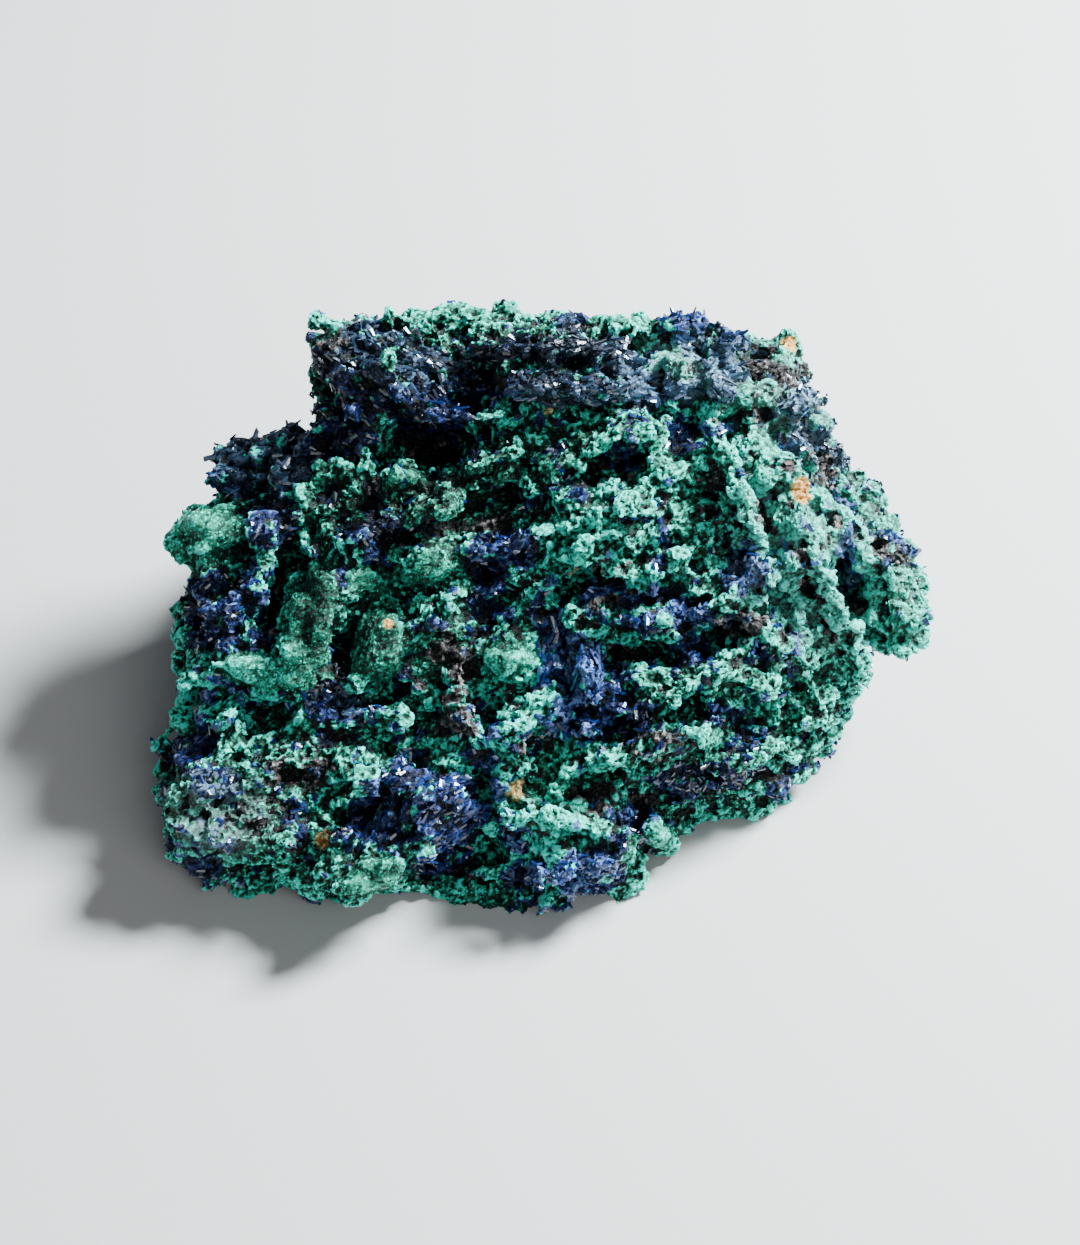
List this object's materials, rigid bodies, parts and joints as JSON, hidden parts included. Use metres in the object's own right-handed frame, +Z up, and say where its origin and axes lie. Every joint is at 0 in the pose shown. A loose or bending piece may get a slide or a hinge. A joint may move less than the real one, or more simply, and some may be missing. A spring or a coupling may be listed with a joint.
{
  "type": "azurite malachite specimen",
  "caption": "Loose craggy mineral specimen: a blocky vuggy mass overgrown by rounded green malachite ledges and knobs and by dark blue azurite crystals, resting on a broken flat face",
  "frame": {"origin": "on the surface that the specimen rests on, under the middle of its bounding box", "axes": "+Z is up, out of the flat broken face that it rests on. +X runs along the longest way, to the lower ribbed end. -Y is the sloping front that carries the most mineral, and +Y the steep broken back."},
  "size_m": [0.0718, 0.0506, 0.0362],
  "materials": {
    "copper_minerals": "rough, velvety green malachite crust with small glassy dark blue azurite crystals over dull brown-black matrix"
  },
  "bodies": {
    "root": {"azurite_malachite_specimen": "copper_minerals"}
  },
  "joints": []
}
